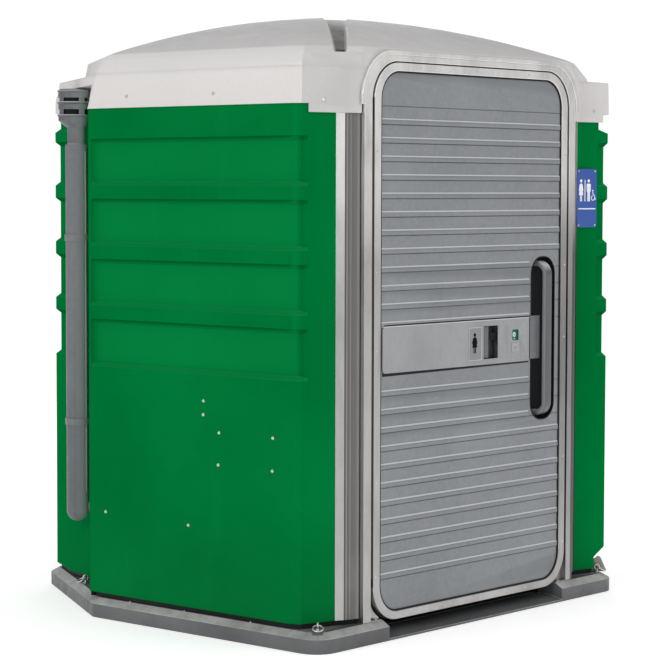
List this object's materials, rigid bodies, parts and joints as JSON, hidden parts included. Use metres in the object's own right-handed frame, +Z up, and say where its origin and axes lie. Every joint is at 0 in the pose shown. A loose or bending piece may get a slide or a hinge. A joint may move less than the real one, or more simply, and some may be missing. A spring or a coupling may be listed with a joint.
{
  "type": "portable toilet cabin",
  "caption": "Wheelchair-accessible portable toilet cabin with hinged door, sliding latch, vented waste tank, seat with lid, grab bars and translucent roof.",
  "frame": {"origin": "centre of the base tray's footprint on the ground", "axes": "+Z up; the door faces -Y; +X is to the right of somebody who looks at the door"},
  "size_m": [1.846, 1.83, 2.29],
  "materials": {
    "wall_green": "satin moulded polyethylene",
    "base_grey": "moulded, slightly scuffed",
    "black_plastic": "black profile",
    "floor_grey": "studded",
    "aluminium": "anodised, matt",
    "strip_grey": "fine ribbed",
    "door_grey": "satin moulded polyethylene",
    "plate_grey": "satin",
    "pictogram": "printed figure",
    "handle_grey": "satin bar",
    "latch_grey": "satin",
    "indicator": "green, red when locked",
    "steel": "zinc plated",
    "vent_grey": "extruded pipe",
    "roof_white": "translucent white moulding",
    "sign_blue": "printed sheet",
    "tank_grey": "moulded tank",
    "seat_grey": "moulded seat",
    "bar_steel": "brushed tube",
    "holder_grey": "moulded",
    "tissue": "soft"
  },
  "bodies": {
    "cabin": {"wall_left": "wall_green", "wall_right": "wall_green", "corner_panel_left": "wall_green", "corner_panel_right": "wall_green", "wall_rear": "wall_green", "base_tray": "base_grey", "wall_sill": "black_plastic", "floor_panel": "floor_grey", "post_front_left": "aluminium", "post_front_right": "aluminium", "door_frame": "aluminium", "roof_rim": "aluminium", "frame_feet": "aluminium", "hinge_leaf_frame": "aluminium", "filler_strip_left": "strip_grey", "filler_strip_right": "strip_grey", "strike_keeper": "plate_grey", "hinge_pin": "steel", "shell_rivets": "steel", "roof_screws": "steel", "sign_screws": "steel", "eye_bolts": "steel", "seat_hinge_pin": "steel", "coat_hook": "steel", "vent_pipe": "vent_grey", "vent_riser": "vent_grey", "vent_cap": "vent_grey", "vent_elbow": "vent_grey", "pipe_clips": "vent_grey", "roof": "roof_white", "sign_plate": "sign_blue", "waste_tank": "tank_grey", "seat_hinge_posts": "tank_grey", "grab_bar_side": "bar_steel", "grab_bar_rear": "bar_steel", "paper_holder": "holder_grey"},
    "door": {"door_trim": "aluminium", "door_bead": "black_plastic", "door_panel": "door_grey", "latch_plate": "plate_grey", "pictogram_plate": "pictogram", "key_boss": "plate_grey", "latch_block": "plate_grey", "handle_cup": "black_plastic", "pull_handle": "handle_grey", "bolt_guides": "plate_grey", "inner_pull": "plate_grey", "hinge_leaf_door": "aluminium", "trim_rivets": "steel"},
    "latch": {"latch_bolt": "latch_grey", "indicator_slide": "indicator"},
    "seat": {"seat_ring": "seat_grey"},
    "lid": {"seat_lid": "seat_grey"},
    "paper": {"paper_spindle": "holder_grey", "paper_rolls": "tissue"},
    "ring_front_left": {"tie_ring_front_left": "steel"},
    "ring_front_right": {"tie_ring_front_right": "steel"},
    "ring_rear_left": {"tie_ring_rear_left": "steel"},
    "ring_rear_right": {"tie_ring_rear_right": "steel"}
  },
  "joints": [
    {"name": "door_hinge", "type": "hinge", "parent": "cabin", "child": "door", "pos_m": [-0.597, -0.8785, 1.05], "axis": [0, 0, -1], "range_deg": [0, 100]},
    {"name": "latch_slide", "type": "slide", "parent": "door", "child": "latch", "axis": [1, 0, 0], "range_m": [0, 0.028]},
    {"name": "seat_hinge", "type": "hinge", "parent": "cabin", "child": "seat", "pos_m": [-0.45, 0.168, 0.462], "axis": [-1, 0, 0], "range_deg": [0, 85]},
    {"name": "lid_hinge", "type": "hinge", "parent": "seat", "child": "lid", "pos_m": [-0.45, 0.168, 0.462], "axis": [-1, 0, 0], "range_deg": [0, 90]},
    {"name": "paper_spin", "type": "hinge", "parent": "cabin", "child": "paper", "pos_m": [-0.795, -0.5375, 0.686], "axis": [0, 1, 0], "continuous": true},
    {"name": "tie_front_left", "type": "hinge", "parent": "cabin", "child": "ring_front_left", "pos_m": [-0.858, -0.852, 0.093], "axis": [-0.7071, 0.7071, 0], "range_deg": [0, 115]},
    {"name": "tie_front_right", "type": "hinge", "parent": "cabin", "child": "ring_front_right", "pos_m": [0.8595, -0.8567, 0.093], "axis": [-0.7556, -0.655, 0], "range_deg": [0, 115]},
    {"name": "tie_rear_left", "type": "hinge", "parent": "cabin", "child": "ring_rear_left", "pos_m": [-0.70733, 0.49736, 0.093], "axis": [0.5417, 0.8406, 0], "range_deg": [0, 115]},
    {"name": "tie_rear_right", "type": "hinge", "parent": "cabin", "child": "ring_rear_right", "pos_m": [0.70733, 0.49736, 0.093], "axis": [0.5417, -0.8406, 0], "range_deg": [0, 115]}
  ]
}
